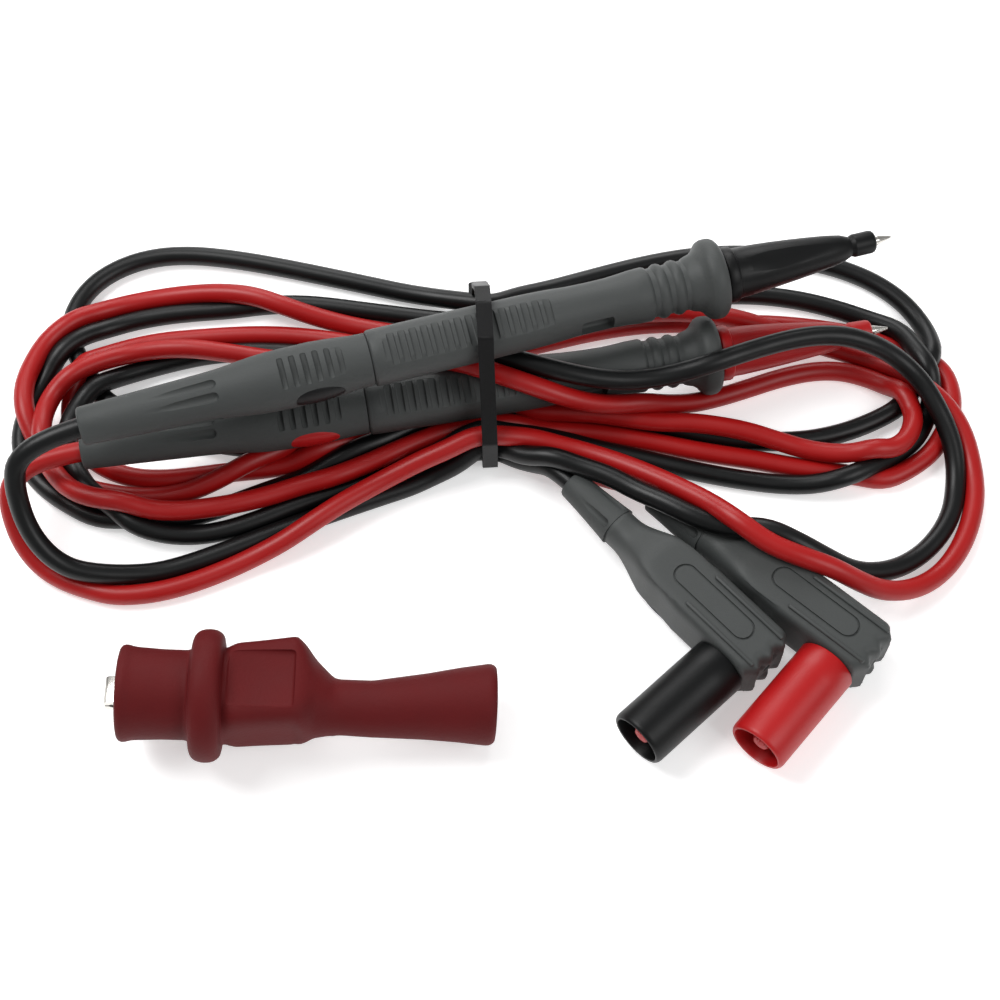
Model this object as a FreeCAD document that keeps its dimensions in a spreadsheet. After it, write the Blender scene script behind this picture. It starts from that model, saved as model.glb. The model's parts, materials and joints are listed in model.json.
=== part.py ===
import FreeCAD, Part
import math
import os

import Sketcher

from FreeCAD import Placement, Rotation, Vector

# Pair of test leads folded into one tied hank, with a separate insulated clip.
# Millimetres, +Z up, the hank lies on z = 0 and the probes point along +X.
doc = FreeCAD.newDocument("test_lead_set")
sheet = doc.addObject("Spreadsheet::Sheet", "Sizes")

sizes = {
    # cable
    "cable_dia": 4.0, "core_dia": 1.8,
    # probe handle, stations measured from the rear end of the boot
    "boot_rear_dia": 7.4, "boot_mid_dia": 9.4, "boot_mid_at": 26.0,
    "boot_wide_dia": 11.4, "boot_wide_at": 38.0, "boot_len": 56.0, "boot_bore": 4.2,
    "flute_len": 14.0, "flute_dia": 2.6, "flute_at": 40.0,
    "groove_at": 56.0, "groove_pitch": 3.0, "grip_dia": 10.8, "grip_front_dia": 9.8,
    "grip_slot": 1.1, "grip_pitch": 2.2, "grip_depth": 0.7, "grip_first": 3.5,
    "boot_slot_long": 6.4, "grip_slot_long": 6.6, "slot_rise": 2.0,
    "window_len": 7.0, "window_wide": 4.2, "window_at": 41.0, "window_cut": 3.0,
    "guard_dia": 15.8, "guard_thick": 3.6, "guard_at": 69.3,
    "nose_len": 15.0, "nose_dia": 7.0, "groove_wide": 1.2, "groove_deep": 0.6,
    "handle_bore": 4.6, "inlay_len": 12.5, "inlay_wide": 4.0, "inlay_depth": 0.8,
    # needle and its sleeve
    "rod_dia": 3.0, "needle_dia": 2.0, "needle_out": 18.0, "needle_tip": 3.0,
    "sleeve_len": 32.0, "sleeve_base_dia": 11.2, "sleeve_bead": 2.2, "sleeve_waist": 9.6,
    "sleeve_end_dia": 4.6, "sleeve_collar": 5.0, "sleeve_bore": 2.5, "sleeve_grip": 7.4,
    "sleeve_play": 0.4,
    # right-angle plug
    "neck_len": 20.0, "neck_dia": 6.0, "house_len": 53.0, "house_wide": 12.0,
    "house_high": 12.4, "house_round": 2.4, "rib_wide": 1.6, "rib_pitch": 3.2, "rib_high": 0.9,
    "pad_len": 20.0, "pad_wide": 7.0, "pad_high": 0.6,
    "shroud_dia": 11.5, "shroud_bore": 9.6, "shroud_len": 22.0, "shroud_root": 4.0,
    "pin_dia": 3.0, "cage_dia": 4.0, "cage_wall": 0.4, "pin_len": 19.0,
    # tie
    "tie_thick": 1.1, "tie_wide": 3.0, "tie_head": 4.2, "tie_head_high": 3.2, "tie_turn": 3.5,
    # hank
    "hank_high": 4.0, "hank_gap": 0.2, "tie_space": 60.0, "probe_space": 230.0,
    # clip
    "clip_len": 68.6, "clip_rim_dia": 18.0, "clip_rim": 2.0, "clip_waist_dia": 16.6,
    "clip_body_dia": 17.4, "clip_ring_dia": 24.4, "clip_ring_at": 13.3, "clip_ring_thick": 5.2,
    "clip_shoulder": 33.0, "clip_neck_at": 39.5, "clip_neck_dia": 10.2,
    "clip_tail_dia": 15.2, "clip_cavity_dia": 13.4, "clip_cavity": 32.0,
    "tail_bore": 8.6, "tail_bore_len": 24.0, "panel_len": 14.0, "panel_wide": 12.0,
    "panel_depth": 0.5, "panel_cut": 4.0, "jaw_wide": 5.0, "jaw_wall": 0.8, "jaw_high": 4.0,
    "jaw_nose": 2.4, "pivot_dia": 1.6, "pivot_at": 24.0, "jaw_split": 0.5, "socket_dia": 5.6,
    "socket_bore": 4.0, "socket_len": 20.0, "clip_floor_gap": 0.24,
}
for row, (name, value) in enumerate(sizes.items(), start=1):
    sheet.set(f"A{row}", name)
    sheet.set(f"B{row}", str(value))
    sheet.setAlias(f"B{row}", name)
doc.recompute()


def size(name):
    """The value of one named cell, in millimetres."""
    return float(sheet.get(name))


def cells(text):
    """An expression with every size name written as its cell of the sheet."""
    words = sorted(sizes, key=len, reverse=True)
    out, i = "", 0
    while i < len(text):
        word = next((w for w in words if text.startswith(w, i)), None)
        out += f"Sizes.{word}" if word else text[i]
        i += len(word) if word else 1
    return out


def bind(thing, prop, text):
    thing.setExpression(prop, cells(text))


# Layout: each placed group has an origin and a turn about Z, and may lean about Y.
def placed(x, y, z, turn=0.0, lean=0.0):
    return Placement(Vector(x, y, z), Rotation(Vector(0, 0, 1), turn) * Rotation(Vector(0, 1, 0), lean))


shiftX, shiftY = 1.62, 5.15
blackProbe = placed(-78.9 + shiftX, 1.8 + shiftY, 26.7, 15.9, 0.8)
redProbe = placed(-81.5 + shiftX, 4.1 + shiftY, 13.0, 10.6, 1.0)
blackPlug = placed(14.0 + shiftX, 0.1 + shiftY, 7.2, -47.4)
redPlug = placed(30.0 + shiftX, -3.0 + shiftY, 7.2, -41.0)
clipRing = size("clip_ring_dia") / 2
clipSpan = size("clip_len") - size("clip_ring_at") - size("clip_ring_thick") / 2
clipLean = math.degrees(math.asin((clipRing - size("clip_tail_dia") / 2) / clipSpan))
clipHeight = clipRing + math.sin(math.radians(clipLean)) * (size("clip_ring_at") + size("clip_ring_thick") / 2)
clipHeight += size("clip_floor_gap")
clipPlace = placed(-69.3 + shiftX, -46.5 + shiftY, clipHeight, 0.0, clipLean)

nodes = {}


def keep(label, thing, place=None):
    """Registers a finished sub-part under the name of its node."""
    thing.Label = label
    if place is not None:
        thing.Placement = place
    nodes[label] = thing
    return thing


def plane(body, role):
    return [f for f in body.Origin.OriginFeatures if f.Role == role][0]


def outlined(body, name, role, outline):
    """A closed polygon on one of the body's planes, each corner held by two bound distances."""
    sketch = body.newObject("Sketcher::SketchObject", name)
    sketch.AttachmentSupport = (plane(body, role), [""])
    sketch.MapMode = "FlatFace"
    points = [(worth(first), worth(second)) for first, second in outline]
    count = len(points)
    for i, start in enumerate(points):
        end = points[(i + 1) % count]
        sketch.addGeometry(Part.LineSegment(Vector(start[0], start[1], 0), Vector(end[0], end[1], 0)))
    for i in range(count):
        sketch.addConstraint(Sketcher.Constraint("Coincident", i, 2, (i + 1) % count, 1))
    for i, pair in enumerate(outline):
        for kind, axis, text, value in zip(("DistanceX", "DistanceY"), (-2, -1), pair, points[i]):
            if abs(value) < 1e-9:
                sketch.addConstraint(Sketcher.Constraint("PointOnObject", i, 1, axis))
            else:
                number = sketch.addConstraint(Sketcher.Constraint(kind, -1, 1, i, 1, value))
                sketch.setExpression(f"Constraints[{number}]", cells(text))
    return sketch


def turned(name, outline):
    """A PartDesign body turned about X. outline holds (along, radius) expressions of a closed polygon."""
    body = doc.addObject("PartDesign::Body", name)
    sketch = outlined(body, name + "_outline", "XY_Plane", outline)
    spin = body.newObject("PartDesign::Revolution", name + "_turned")
    spin.Profile = sketch
    spin.ReferenceAxis = (plane(body, "X_Axis"), [""])
    spin.Angle = 360
    return body


def worth(text):
    """The number that an expression of size names comes to."""
    for name in sorted(sizes, key=len, reverse=True):
        text = text.replace(name, f"({size(name)!r})")
    return float(FreeCAD.Units.Quantity(text.replace(" ", "")).Value)


def rod(name, radius, length, place):
    thing = doc.addObject("Part::Cylinder", name)
    bind(thing, "Radius", radius)
    bind(thing, "Height", length)
    thing.Placement = place
    return thing


def block(name, long, wide, high, place):
    thing = doc.addObject("Part::Box", name)
    bind(thing, "Length", long)
    bind(thing, "Width", wide)
    bind(thing, "Height", high)
    thing.Placement = place
    return thing


def joined(name, parts):
    thing = doc.addObject("Part::MultiFuse", name)
    thing.Shapes = parts
    return thing


def cut(name, base, tools):
    thing = doc.addObject("Part::Cut", name)
    thing.Base = base
    thing.Tool = tools[0] if len(tools) == 1 else joined(name + "_tools", tools)
    return thing


alongX = Rotation(Vector(0, 1, 0), 90)
alongY = Rotation(Vector(1, 0, 0), -90)


def station(x, y=0.0, z=0.0, turn=alongX):
    return Placement(Vector(x, y, z), turn)


def probe(colour, place):
    """One probe, made along its own X from the rear end of the boot, then set in place."""
    guard = "boot_len + guard_at"
    nose = "boot_len + guard_at + guard_thick / 2 + nose_len"

    boot = turned(colour + "_boot_body", [
        ("0", "boot_bore / 2"), ("0", "boot_rear_dia / 2 - 0.6"), ("0.6", "boot_rear_dia / 2"),
        ("boot_mid_at", "boot_mid_dia / 2"), ("boot_wide_at", "boot_wide_dia / 2"),
        ("boot_len - 3", "boot_wide_dia / 2"), ("boot_len", "grip_dia / 2 + 0.2"),
        ("boot_len", "boot_bore / 2")])
    flutes = []
    for i in range(6):
        angle = math.radians(30 + 60 * i)
        away = size("boot_wide_dia") / 2 + size("flute_dia") * 0.22
        flute = rod(f"{colour}_flute_{i}", "flute_dia / 2", "flute_len", station(
            size("flute_at") - size("flute_len"), away * math.cos(angle), away * math.sin(angle)))
        flutes.append(flute)
    for i in range(6):
        for side in (-1, 1):
            slot = block(f"{colour}_boot_slot_{i}_{side}", "grip_slot", "boot_slot_long", "grip_depth + slot_rise", station(
                size("boot_wide_at") + 3.2 + 2.15 * i, -size("boot_slot_long") / 2,
                size("boot_wide_dia") / 2 - size("grip_depth") if side > 0
                else -size("boot_wide_dia") / 2 - size("slot_rise"), Rotation()))
            flutes.append(slot)
    keep(colour + "_probe_boot", cut(colour + "_boot", boot, flutes), place)

    grooves = []
    for i in range(3):
        near = f"boot_len + groove_at + {i} * groove_pitch"
        grooves += [(near, "grip_dia / 2"), (near, "grip_dia / 2 - groove_deep"),
                    (near + " + groove_wide", "grip_dia / 2 - groove_deep"), (near + " + groove_wide", "grip_dia / 2")]
    handle = turned(colour + "_handle_body", [
        ("boot_len", "handle_bore / 2"), ("boot_len", "grip_dia / 2"),
        ("boot_len + window_at - 4", "grip_dia / 2"), ("boot_len + window_at - 1", "grip_front_dia / 2"),
        ("boot_len + window_at + window_len + 1", "grip_front_dia / 2"),
        ("boot_len + groove_at - 3", "grip_dia / 2")] + grooves + [
        (guard + " - guard_thick / 2 - 1", "grip_dia / 2 + 0.4"),
        (guard + " - guard_thick / 2", "guard_dia / 2 - 1.2"),
        (guard + " - guard_thick / 4", "guard_dia / 2"), (guard + " + guard_thick / 4", "guard_dia / 2"),
        (guard + " + guard_thick / 2", "guard_dia / 2 - 1.2"),
        (guard + " + guard_thick / 2", "nose_dia / 2"), (nose, "nose_dia / 2"),
        (nose, "rod_dia / 2"), (nose + " - 4", "rod_dia / 2"), (nose + " - 4", "handle_bore / 2")])
    cuts = []
    for i in range(15):
        for side in (-1, 1):
            top = size("grip_dia") / 2 - size("grip_depth")
            cuts.append(block(f"{colour}_grip_slot_{i}_{side}", "grip_slot", "grip_slot_long", "grip_depth + slot_rise", station(
                size("boot_len") + size("grip_first") + size("grip_pitch") * i, -size("grip_slot_long") / 2,
                top if side > 0 else -top - size("grip_depth") - size("slot_rise"), Rotation())))
    for side in (-1, 1):
        cuts.append(block(f"{colour}_window_{side}", "window_len", "window_cut", "window_wide", station(
            size("boot_len") + size("window_at"),
            size("handle_bore") / 2 + 0.4 if side > 0 else -size("handle_bore") / 2 - 0.4 - size("window_cut"),
            -size("window_wide") / 2, Rotation())))
    keep(colour + "_probe_handle", cut(colour + "_handle", handle, cuts), place)

    keep(colour + "_handle_core", turned(colour + "_core_body", [
        ("boot_len + 2", "rod_dia / 2"), ("boot_len + 2", "handle_bore / 2 - 0.05"),
        (nose + " - 4.5", "handle_bore / 2 - 0.05"), (nose + " - 4.5", "rod_dia / 2")]), place)
    keep(colour + "_needle", turned(colour + "_needle_body", [
        ("boot_len - 6", "0"), ("boot_len - 6", "rod_dia / 2 - 0.05"),
        (nose + " + 1", "rod_dia / 2 - 0.05"), (nose + " + 1.5", "needle_dia / 2"),
        (nose + " + needle_out", "needle_dia / 2"),
        (nose + " + needle_out + needle_tip", "0.25"), (nose + " + needle_out + needle_tip", "0")]), place)
    keep(colour + "_crimp_ferrule", turned(colour + "_ferrule_body", [
        ("boot_len - 16", "core_dia / 2"), ("boot_len - 16", "boot_bore / 2 - 0.1"),
        ("boot_len - 6.5", "boot_bore / 2 - 0.1"), ("boot_len - 6.5", "core_dia / 2")]), place)
    base = guard + " + guard_thick / 2 + sleeve_play"
    keep(colour + "_tip_sleeve", turned(colour + "_sleeve_body", [
        (base, "sleeve_grip / 2"), (base, "sleeve_base_dia / 2"),
        (base + " + sleeve_bead", "sleeve_base_dia / 2"),
        (base + " + sleeve_bead + 0.8", "sleeve_waist / 2"),
        (base + " + 15", "sleeve_waist / 2 - 0.5"),
        (base + " + sleeve_len - sleeve_collar - 1.2", "sleeve_end_dia / 2 + 0.6"),
        (base + " + sleeve_len - sleeve_collar", "sleeve_end_dia / 2 - 0.3"),
        (base + " + sleeve_len - sleeve_collar + 0.6", "sleeve_end_dia / 2"),
        (base + " + sleeve_len - 0.6", "sleeve_end_dia / 2"),
        (base + " + sleeve_len", "sleeve_end_dia / 2 - 0.5"),
        (base + " + sleeve_len", "sleeve_bore / 2"), (nose + " + 3", "sleeve_bore / 2"),
        (nose + " + 0.5", "sleeve_grip / 2")]), place)

    pads = []
    for side in (-1, 1):
        outer = size("boot_wide_dia") / 2
        pads.append(block(f"{colour}_inlay_{side}", "inlay_len", "inlay_depth", "inlay_wide", station(
            size("boot_wide_at") + 2.4,
            outer - 0.35 if side > 0 else -outer + 0.35 - size("inlay_depth"),
            -size("inlay_wide") / 2, Rotation())))
    inlay = joined(colour + "_inlays_raw", pads)
    keep(colour + "_grip_inlays", cut(colour + "_inlays", inlay, [rod(
        colour + "_inlay_bed", "boot_wide_dia / 2", "inlay_len + 2",
        station(size("boot_wide_at") + 1.4))]), place)


def plug(colour, place):
    """One right-angle shrouded plug: X runs from the cable entry to the end, the shroud points along -Y."""
    half = size("house_wide") / 2
    tall = size("house_high") / 2
    mid = size("house_len") - size("shroud_dia") / 2 - 0.6
    keep(colour + "_plug_relief", turned(colour + "_relief_body", [
        ("0", "cable_dia / 2 + 0.05"), ("0", "neck_dia / 2 - 0.5"), ("0.5", "neck_dia / 2"),
        ("neck_len - 7", "neck_dia / 2 + 1.6"), ("neck_len - 7", "cable_dia / 2 + 0.05")]), place)
    body = doc.addObject("PartDesign::Body", colour + "_housing_body")
    sections = []
    for along, wide, high in (("neck_len - 6.8", "neck_dia + 2.4", "neck_dia + 2.8"),
                              ("neck_len + 6", "house_wide", "house_high"),
                              ("house_len - house_round", "house_wide", "house_high"),
                              ("house_len", "house_wide - house_round", "house_high - house_round")):
        w, h, bevel = f"({wide}) / 2", f"({high}) / 2", "house_round"
        corners = [(w, f"{h} - {bevel}"), (f"{w} - {bevel}", h)]
        corners += [(f"{bevel} - {w}", h), (f"0 - {w}", f"{h} - {bevel}")]
        corners += [(x, f"0 - ({y})") for x, y in reversed(corners)]
        sketch = outlined(body, f"{colour}_section_{len(sections)}", "YZ_Plane", corners)
        bind(sketch, "AttachmentOffset.Base.z", along)
        sections.append(sketch)
    shell = body.newObject("PartDesign::AdditiveLoft", colour + "_housing_taper")
    shell.Profile = sections[0]
    shell.Sections = sections[1:]
    shell.Ruled = True
    ribs = []
    for i in range(3):
        at = size("house_len") - 3.6 - size("rib_pitch") * i
        ribs.append(block(f"{colour}_rib_{i}", "rib_wide", "house_wide * 0.5", "house_high * 0.62", station(
            at, half + size("rib_high") - size("house_wide") * 0.5, -0.31 * size("house_high"), Rotation())))
    for side in (-1, 1):
        low = tall - 0.2 if side > 0 else -tall + 0.2 - size("pad_high")
        ribs.append(block(f"{colour}_pad_{side}", "pad_len", "pad_wide", "pad_high", station(
            size("neck_len") + 7, -size("pad_wide") / 2, low, Rotation())))
    bore = rod(colour + "_plug_bore", "cable_dia / 2 + 0.05", "neck_len + 8", station(0))
    cavity = rod(colour + "_pin_seat", "cage_dia / 2 + 0.6", "house_wide * 0.9", station(
        mid, -half - 1, 0, alongY))
    spigot = rod(colour + "_shroud_seat", "shroud_dia / 2 - 1", "shroud_root", station(
        mid, -half - 0.1, 0, alongY))
    keep(colour + "_plug_housing", cut(
        colour + "_housing", joined(colour + "_housing_ribbed", [body] + ribs), [bore, cavity, spigot]), place)

    def across(name, outline, y):
        thing = turned(name, outline)
        lay = Placement(Vector(mid, y, 0), Rotation(Vector(0, 0, 1), -90))
        return keep(name.replace("_raw", ""), thing, place.multiply(lay))

    start = -half
    across(colour + "_plug_shroud_raw", [
        ("0 - shroud_root + 0.2", "cage_dia / 2 + 0.7"), ("0 - shroud_root + 0.2", "shroud_dia / 2 - 1.05"),
        ("0.05", "shroud_dia / 2 - 1.05"), ("0.05", "shroud_dia / 2"),
        ("shroud_len - 0.7", "shroud_dia / 2"), ("shroud_len", "shroud_dia / 2 - 0.6"),
        ("shroud_len", "shroud_bore / 2"), ("2", "shroud_bore / 2"), ("2", "cage_dia / 2 + 0.7")], start)
    across(colour + "_plug_pin_raw", [
        ("0 - 8", "0"), ("0 - 8", "cage_dia / 2"), ("1.5", "cage_dia / 2"), ("1.5", "pin_dia / 2"),
        ("pin_len", "pin_dia / 2"), ("pin_len", "0")], start)
    wall = "cage_dia / 2 - cage_wall"
    across(colour + "_pin_spring_raw", [
        ("2.2", "pin_dia / 2 + 0.05"), ("2.2", "pin_dia / 2 + 0.4"), ("6", "cage_dia / 2 + 0.15"),
        ("12", "cage_dia / 2 + 0.15"), ("pin_len - 3", "pin_dia / 2 + 0.4"),
        ("pin_len - 3", "pin_dia / 2 + 0.05"), ("12", wall + " + 0.15"), ("6", wall + " + 0.15")], start)
    across(colour + "_pin_nose_raw", [
        ("pin_len + 0.05", "0"), ("pin_len + 0.05", "cage_dia / 2"), ("pin_len + 1", "cage_dia / 2"),
        ("pin_len + 1.9", "cage_dia / 2 - 0.6"), ("pin_len + 2.3", "0")], start)
    across(colour + "_pin_holder_raw", [
        ("0 - 5", "cage_dia / 2 + 0.05"), ("0 - 5", "cage_dia / 2 + 0.55"), ("1.2", "cage_dia / 2 + 0.55"),
        ("1.2", "cage_dia / 2 + 0.05")], start)


def tube(name, route, dia):
    """A round tube along straight runs joined by tangent arcs."""
    points = [Vector(*p) for p in route]
    edges, last, radii = [], points[0], []
    for before, here, after in zip(points, points[1:], points[2:]):
        back, on = (before - here), (after - here)
        short = min(back.Length, on.Length)
        turn = math.pi - back.getAngle(on)
        reach = 0.45 * short
        radii.append(round(reach / math.tan(turn / 2), 1))
        start, end = here + back.normalize() * reach, here + on.normalize() * reach
        inward = (start + end) * 0.5 - here
        radius = reach / math.tan(turn / 2)
        centre = here + inward.normalize() * math.hypot(radius, reach)
        middle = centre + (here - centre).normalize() * radius
        edges += [Part.LineSegment(last, start).toShape(), Part.Arc(start, middle, end).toShape()]
        last = end
    edges.append(Part.LineSegment(last, points[-1]).toShape())
    path = Part.Wire(edges)
    ring = Part.Wire(Part.Circle(points[0], points[1] - points[0], dia / 2).toShape())
    solid = path.makePipeShell([ring], True, True)
    share = solid.Volume / (math.pi * dia * dia / 4 * path.Length)
    print(f"{name}: length {path.Length:.1f} mm, radii {radii}, volume share {share:.4f}")
    thing = doc.addObject("Part::Feature", name)
    thing.Shape = solid
    return keep(name, thing)


# the loops' round ends as centre and radius, and the corners of the waist between them
hankLobes = [(-58.5, 19.5, 38.5), (56.5, 17.0, 41.0)]
hankWaist = [(-62, 54.5), (-6, 41), (0, 41), (60, 54.5), (60, -20.5), (0, 10), (-6, 10), (-62, -15.5)]


def hankLayer(name, low, clear):
    """One lead's loops as a closed plate: a round lobe at each end and a waist at the tie."""
    high = size("hank_high")
    lobes = [Part.makeCylinder(reach, high, Vector(x, y, low)) for x, y, reach in hankLobes]
    waist = [Vector(x, y, low) for x, y in hankWaist + hankWaist[:1]]
    web = Part.Face(Part.makePolygon(waist)).extrude(Vector(0, 0, high))
    plate = doc.addObject("Part::Feature", name + "_plate")
    plate.Shape = lobes[0].fuse([lobes[1], web]).removeSplitter()
    plate.Placement = Placement(Vector(shiftX, shiftY, 0), Rotation())
    keep(name, cut(name + "_trimmed", plate, clear))


def clearances(tag):
    """What stays clear round the probes, the plugs and the tie."""
    away = []
    for colour, place in (("black", blackProbe), ("red", redProbe)):
        along = place.multiply(station(-30))
        away.append(rod(f"{tag}_{colour}_probe_space", "guard_dia / 2 + 0.6", "probe_space", along))
    for colour, place in (("black", blackPlug), ("red", redPlug)):
        away.append(block(f"{tag}_{colour}_plug_space", "house_len + 4", "house_wide + 3", "house_high + 8",
                          place.multiply(station(-1, -size("house_wide") / 2 - 1.5, -9, Rotation()))))
        away.append(rod(f"{tag}_{colour}_shroud_space", "shroud_dia / 2 + 1", "shroud_len + 12", place.multiply(
            station(size("house_len") - size("shroud_dia") / 2 - 0.6, -size("shroud_len") - 14, 0, alongY))))
    away.append(block(f"{tag}_tie_slot", "tie_wide + 1", "tie_space", "tie_thick + 0.4",
                      placed(tieAt + 1.4, shiftY, -0.01, size("tie_turn")).multiply(
                          station(-size("tie_wide") / 2 - 0.5, -5, 0, Rotation()))))
    return away


tieAt = -3.0 + shiftX


def cableTie():
    """A nylon strap pulled round the hank and both probes, with its ratchet head on the far side."""
    pull = [(8.5, 0.9), (42.0, 0.9), (45.0, 4.5), (43.5, 10.5), (29.6, 29.8), (25.0, 32.0),
            (19.0, 30.4), (7.0, 11.4), (6.2, 4.5)]
    loop = Part.makePolygon([Vector(0, y, z) for y, z in pull + pull[:1]])
    inner = loop.makeOffset2D(0.2)
    outer = loop.makeOffset2D(0.2 + size("tie_thick"))
    strap = Part.Face(outer).cut(Part.Face(inner)).extrude(Vector(size("tie_wide"), 0, 0))
    band = doc.addObject("Part::Feature", "tie_strap")
    band.Shape = strap
    band.Placement = Placement(Vector(-size("tie_wide") / 2, 0, 0), Rotation())
    head = block("tie_head", "tie_head", "tie_head_high", "tie_head", Placement(
        Vector(-size("tie_head") / 2, 45.2, 1.4), Rotation()))
    soft = doc.addObject("Part::Fillet", "tie_head_soft")
    soft.Base = head
    doc.recompute()
    soft.Edges = [(i + 1, 0.5, 0.5) for i in range(len(head.Shape.Edges))]
    keep("cable_tie", joined("tie_all", [band, soft]), placed(
        tieAt + 1.4, shiftY, 0.4, size("tie_turn")))


def clip():
    """The insulated clip: a soft boot over a jaw pair, with a lead socket in its tail."""
    ring = "clip_ring_at"
    boot = turned("clip_boot_body", [
        ("0", "clip_cavity_dia / 2"), ("0", "clip_rim_dia / 2 - 0.5"), ("0.5", "clip_rim_dia / 2"),
        ("clip_rim - 0.5", "clip_rim_dia / 2"), ("clip_rim", "clip_rim_dia / 2 - 0.5"),
        (ring, "clip_waist_dia / 2"), (ring + " + 0.3", "clip_ring_dia / 2 - 1.4"),
        (ring + " + 1.4", "clip_ring_dia / 2 - 0.3"), (ring + " + 2.6", "clip_ring_dia / 2"),
        (ring + " + clip_ring_thick - 1.4", "clip_ring_dia / 2 - 0.3"),
        (ring + " + clip_ring_thick - 0.3", "clip_ring_dia / 2 - 1.4"),
        (ring + " + clip_ring_thick", "clip_body_dia / 2"),
        ("clip_shoulder", "clip_body_dia / 2"), ("clip_neck_at", "clip_neck_dia / 2"),
        ("clip_neck_at + 12", "clip_neck_dia / 2 + 0.6"), ("clip_len - 0.6", "clip_tail_dia / 2"),
        ("clip_len", "clip_tail_dia / 2 - 0.6"), ("clip_len", "tail_bore / 2"),
        ("clip_len - tail_bore_len", "tail_bore / 2"), ("clip_len - tail_bore_len", "socket_dia / 2"),
        ("clip_cavity", "socket_dia / 2"), ("clip_cavity", "clip_cavity_dia / 2")])
    panels = []
    for side in (-1, 1):
        face = size("clip_body_dia") / 2 - size("panel_depth")
        panels.append(block(f"clip_panel_{side}", "panel_len", "panel_wide", "panel_cut", station(
            size("clip_ring_at") + size("clip_ring_thick") + 1.6, -size("panel_wide") / 2,
            face if side > 0 else -face - size("panel_cut"), Rotation())))
    keep("clip_boot", cut("clip_boot_cut", boot, panels), clipPlace)
    keep("clip_socket", turned("clip_socket_body", [
        ("clip_cavity - 3", "0"), ("clip_cavity - 3", "socket_dia / 2 + 1.5"),
        ("clip_cavity - 0.1", "socket_dia / 2 + 1.5"), ("clip_cavity - 0.1", "socket_dia / 2 - 0.05"),
        ("clip_len - 3", "socket_dia / 2 - 0.05"), ("clip_len - 3", "socket_bore / 2"),
        ("clip_len - 3 - socket_len", "socket_bore / 2"), ("clip_len - 3 - socket_len", "0")]), clipPlace)
    for name, side in (("clip_upper_jaw", 1), ("clip_lower_jaw", -1)):
        wide = size("jaw_wide") / 2
        inner = size("jaw_split") / 2
        step = 1.4
        nose = -size("jaw_nose")
        profile = [(nose, inner)]
        for i in range(6):
            profile += [(nose + 0.7 + step * i, inner), (nose + 0.7 + step * (i + 0.5), inner + 0.5)]
        profile += [(9.0, inner), (size("pivot_at") - 3.4, inner), (size("pivot_at") + 2.2, 1.4),
                    (size("pivot_at") + 3.4, 2.6), (size("pivot_at") - 4, 3.5), (6.0, 3.2), (nose + 0.6, 2.0),
                    (nose, 1.4)]
        flat = Part.Face(Part.makePolygon([Vector(x, 0, side * z) for x, z in profile + profile[:1]]))
        jaw = flat.extrude(Vector(0, 2 * wide, 0))
        jaw.translate(Vector(0, -wide, 0))
        hollow = Part.makeBox(14.5, 2 * wide - 2 * size("jaw_wall"), 8,
                              Vector(9.5, -wide + size("jaw_wall"), -4))
        pin = Part.makeCylinder(size("pivot_dia") / 2 + 0.05, 10,
                                Vector(size("pivot_at") - 2.5, -5, 0), Vector(0, 1, 0))
        thing = doc.addObject("Part::Feature", name + "_pressed")
        thing.Shape = jaw.cut([hollow, pin])
        keep(name, thing, clipPlace)
    keep("clip_pivot_pin", rod("clip_pivot", "pivot_dia / 2", "jaw_wide + 1", station(0)), clipPlace.multiply(
        station(size("pivot_at") - 2.5, -size("jaw_wide") / 2 - 0.5, 0, alongY)))
    keep("clip_spring", cut("clip_spring_coil", rod(
        "spring_outer", "pivot_dia / 2 + 0.9", "jaw_wide - 2.2", Placement()), [rod(
            "spring_inner", "pivot_dia / 2 + 0.1", "jaw_wide + 2", station(0, 0, -1, Rotation()))]), clipPlace.multiply(
        station(size("pivot_at") - 2.5, -size("jaw_wide") / 2 + 1.1, 0, alongY)))


for colour, place in (("black", blackProbe), ("red", redProbe)):
    probe(colour, place)
for colour, place in (("black", blackPlug), ("red", redPlug)):
    plug(colour, place)
cableTie()
clip()
hankLayer("black_lead_hank", 0.0, clearances("black"))
hankLayer("red_lead_hank", size("hank_high") + size("hank_gap"), clearances("red"))

# Free ends of the leads: out of each probe and down to its loops, and into each plug.
tube("black_probe_tail", [(-73.43, 8.05, 26.64), (-86.9, 4.21, 26.84), (-94.5, -2.0, 19.5), (-92.0, -11.6, 10.9)],
     size("cable_dia"))
tube("red_probe_tail", [(-75.95, 9.99, 12.93), (-87.0, 7.92, 13.12), (-95.5, 2.2, 12.3), (-97.0, -7.5, 10.8)],
     size("cable_dia"))
for colour, place in (("black", blackPlug), ("red", redPlug)):
    keep(colour + "_plug_tail", rod(colour + "_plug_lead", "cable_dia / 2", "neck_len - 7", station(0)),
         place.multiply(station(-1)))

doc.recompute()
os.makedirs("parts", exist_ok=True)
for thing in doc.Objects:
    bad = [s for s in thing.State if s in ("Invalid", "Error")]
    if bad:
        raise RuntimeError(f"{thing.Label} failed: {thing.State}")
for label, thing in nodes.items():
    shape = thing.Shape
    if shape.isNull() or not shape.isValid() or not shape.Solids:
        raise RuntimeError(f"{label} has no valid solid")
for label, thing in nodes.items():
    thing.Shape.exportStep(f"parts/{label}.step")
    box = thing.Shape.BoundBox
    print(f"{label}: {len(thing.Shape.Solids)} solid, {thing.Shape.Volume:.1f} mm3, "
          f"x {box.XMin:.1f}..{box.XMax:.1f} y {box.YMin:.1f}..{box.YMax:.1f} z {box.ZMin:.1f}..{box.ZMax:.1f}")
print(f"{len(nodes)} nodes")
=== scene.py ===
import math
import json

import bpy
import numpy as np
from mathutils import Matrix, Vector


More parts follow.
